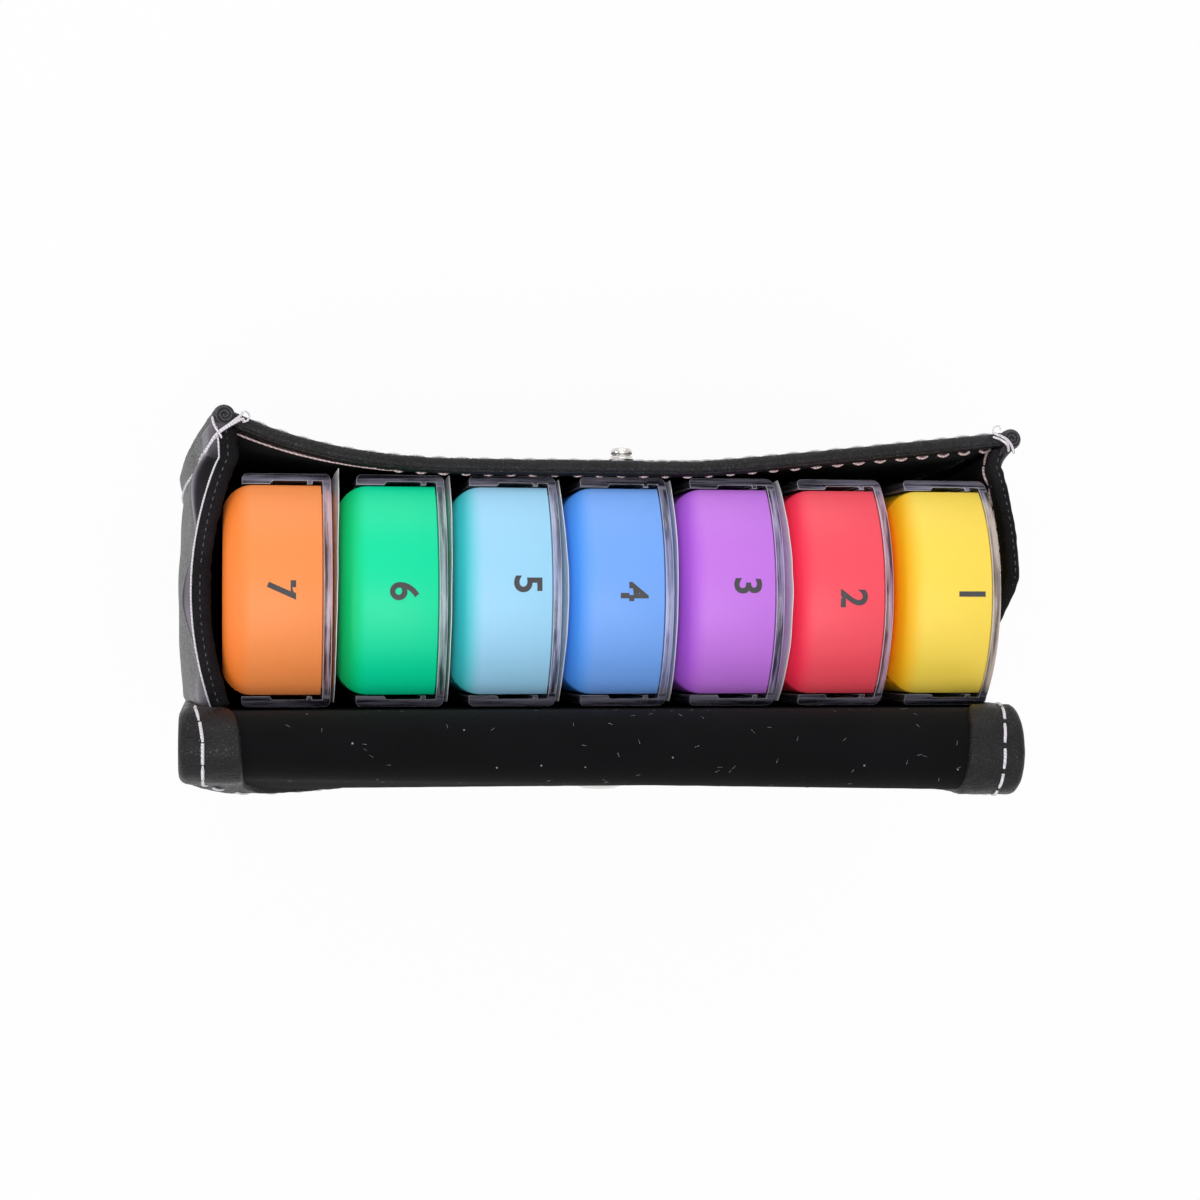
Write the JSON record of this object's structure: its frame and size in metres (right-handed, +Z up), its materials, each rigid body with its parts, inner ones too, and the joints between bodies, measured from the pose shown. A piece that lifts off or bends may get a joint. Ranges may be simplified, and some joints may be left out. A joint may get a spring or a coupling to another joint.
{
  "type": "pill organizer",
  "caption": "Weekly pill organizer: coloured daily boxes with clear sliding covers and inner compartments, standing in a soft open pouch with a fold-back snap flap.",
  "frame": {"origin": "on the underside of the pouch's base, in the middle of the row of boxes", "axes": "+Z up, out of the pouch's mouth; +X along the row of boxes, towards the seventh; -Y towards the front with the snap stud"},
  "size_m": [0.172, 0.0764, 0.1193],
  "materials": {
    "black_leather": "soft pebbled faux leather, satin",
    "black_suede": "short-napped suede lining, matt",
    "nickel": "polished nickel snap fastener",
    "clear_plastic": "clear moulded plastic, glossy",
    "thin_film": "thin milky film",
    "yellow_plastic": "satin moulded plastic",
    "red_plastic": "satin moulded plastic",
    "purple_plastic": "satin moulded plastic",
    "blue_plastic": "satin moulded plastic",
    "sky_plastic": "satin moulded plastic",
    "green_plastic": "satin moulded plastic",
    "orange_plastic": "satin moulded plastic"
  },
  "bodies": {
    "pouch": {"back_lining": "black_suede", "back_panel": "black_leather", "base_lining": "black_suede", "base_panel": "black_leather", "front_hem": "black_leather", "front_lining": "black_suede", "front_panel": "black_leather", "left_corner_welt": "black_leather", "left_gusset": "black_leather", "left_gusset_lining": "black_suede", "right_corner_welt": "black_leather", "right_gusset": "black_leather", "right_gusset_lining": "black_suede", "snap_stud": "nickel", "stud_eyelet": "nickel"},
    "box_1": {"tray_1": "yellow_plastic"},
    "lid_1": {"cover_1": "clear_plastic"},
    "box_2": {"tray_2": "red_plastic"},
    "lid_2": {"cover_2": "clear_plastic"},
    "box_3": {"tray_3": "purple_plastic"},
    "lid_3": {"cover_3": "clear_plastic", "lid_film_3": "thin_film"},
    "box_4": {"tray_4": "blue_plastic"},
    "lid_4": {"cover_4": "clear_plastic", "lid_film_4": "thin_film"},
    "box_5": {"tray_5": "sky_plastic"},
    "lid_5": {"cover_5": "clear_plastic", "lid_film_5": "thin_film"},
    "box_6": {"tray_6": "green_plastic"},
    "lid_6": {"cover_6": "clear_plastic", "lid_film_6": "thin_film"},
    "box_7": {"tray_7": "orange_plastic"},
    "lid_7": {"cover_7": "clear_plastic", "lid_film_7": "thin_film"},
    "arch_1": {"flap_bend_1": "black_leather"},
    "arch_2": {"flap_bend_2": "black_leather"},
    "arch_3": {"flap_bend_3": "black_leather"},
    "arch_4": {"flap_bend_4": "black_leather"},
    "flap_top": {"flap_panel": "black_leather", "flap_lining": "black_suede"},
    "flap_front": {"flap_tongue": "black_leather", "flap_tongue_lining": "black_suede", "snap_socket": "nickel", "snap_cap": "nickel"}
  },
  "joints": [
    {"name": "box_1_lift", "type": "slide", "parent": "pouch", "child": "box_1", "axis": [0, 0, 1], "range_m": [0, 0.12]},
    {"name": "lid_1_slide", "type": "slide", "parent": "box_1", "child": "lid_1", "axis": [0, 0, 1], "range_m": [0, 0.08]},
    {"name": "box_2_lift", "type": "slide", "parent": "pouch", "child": "box_2", "axis": [0, 0, 1], "range_m": [0, 0.12]},
    {"name": "lid_2_slide", "type": "slide", "parent": "box_2", "child": "lid_2", "axis": [0, 0, 1], "range_m": [0, 0.08]},
    {"name": "box_3_lift", "type": "slide", "parent": "pouch", "child": "box_3", "axis": [0, 0, 1], "range_m": [0, 0.12]},
    {"name": "lid_3_slide", "type": "slide", "parent": "box_3", "child": "lid_3", "axis": [0, 0, 1], "range_m": [0, 0.08]},
    {"name": "box_4_lift", "type": "slide", "parent": "pouch", "child": "box_4", "axis": [0, 0, 1], "range_m": [0, 0.12]},
    {"name": "lid_4_slide", "type": "slide", "parent": "box_4", "child": "lid_4", "axis": [0, 0, 1], "range_m": [0, 0.08]},
    {"name": "box_5_lift", "type": "slide", "parent": "pouch", "child": "box_5", "axis": [0, 0, 1], "range_m": [0, 0.12]},
    {"name": "lid_5_slide", "type": "slide", "parent": "box_5", "child": "lid_5", "axis": [0, 0, 1], "range_m": [0, 0.08]},
    {"name": "box_6_lift", "type": "slide", "parent": "pouch", "child": "box_6", "axis": [0, 0, 1], "range_m": [0, 0.12]},
    {"name": "lid_6_slide", "type": "slide", "parent": "box_6", "child": "lid_6", "axis": [0, 0, 1], "range_m": [0, 0.08]},
    {"name": "box_7_lift", "type": "slide", "parent": "pouch", "child": "box_7", "axis": [0, 0, 1], "range_m": [0, 0.12]},
    {"name": "lid_7_slide", "type": "slide", "parent": "box_7", "child": "lid_7", "axis": [0, 0, 1], "range_m": [0, 0.08]},
    {"name": "flap_hinge", "type": "hinge", "parent": "pouch", "child": "arch_1", "pos_m": [0.0023, 0.0231, 0.1118], "axis": [-1, 0, 0], "range_deg": [-112.5, 0]},
    {"name": "arch_bend_2", "type": "hinge", "parent": "arch_1", "child": "arch_2", "pos_m": [0.0023, 0.02533, 0.11717], "axis": [-1, 0, 0], "range_deg": [-45, 0]},
    {"name": "arch_bend_3", "type": "hinge", "parent": "arch_2", "child": "arch_3", "pos_m": [0.0023, 0.0307, 0.1194], "axis": [-1, 0, 0], "range_deg": [-45, 0]},
    {"name": "arch_bend_4", "type": "hinge", "parent": "arch_3", "child": "arch_4", "pos_m": [0.0023, 0.03607, 0.11717], "axis": [-1, 0, 0], "range_deg": [-45, 0]},
    {"name": "arch_end_bend", "type": "hinge", "parent": "arch_4", "child": "flap_top", "pos_m": [0.0023, 0.0383, 0.1118], "axis": [-1, 0, 0], "range_deg": [-22.5, 0]},
    {"name": "flap_fold", "type": "hinge", "parent": "flap_top", "child": "flap_front", "pos_m": [0.0023, 0.0383, 0.08197], "axis": [-1, 0, 0], "range_deg": [-90, 0]}
  ]
}
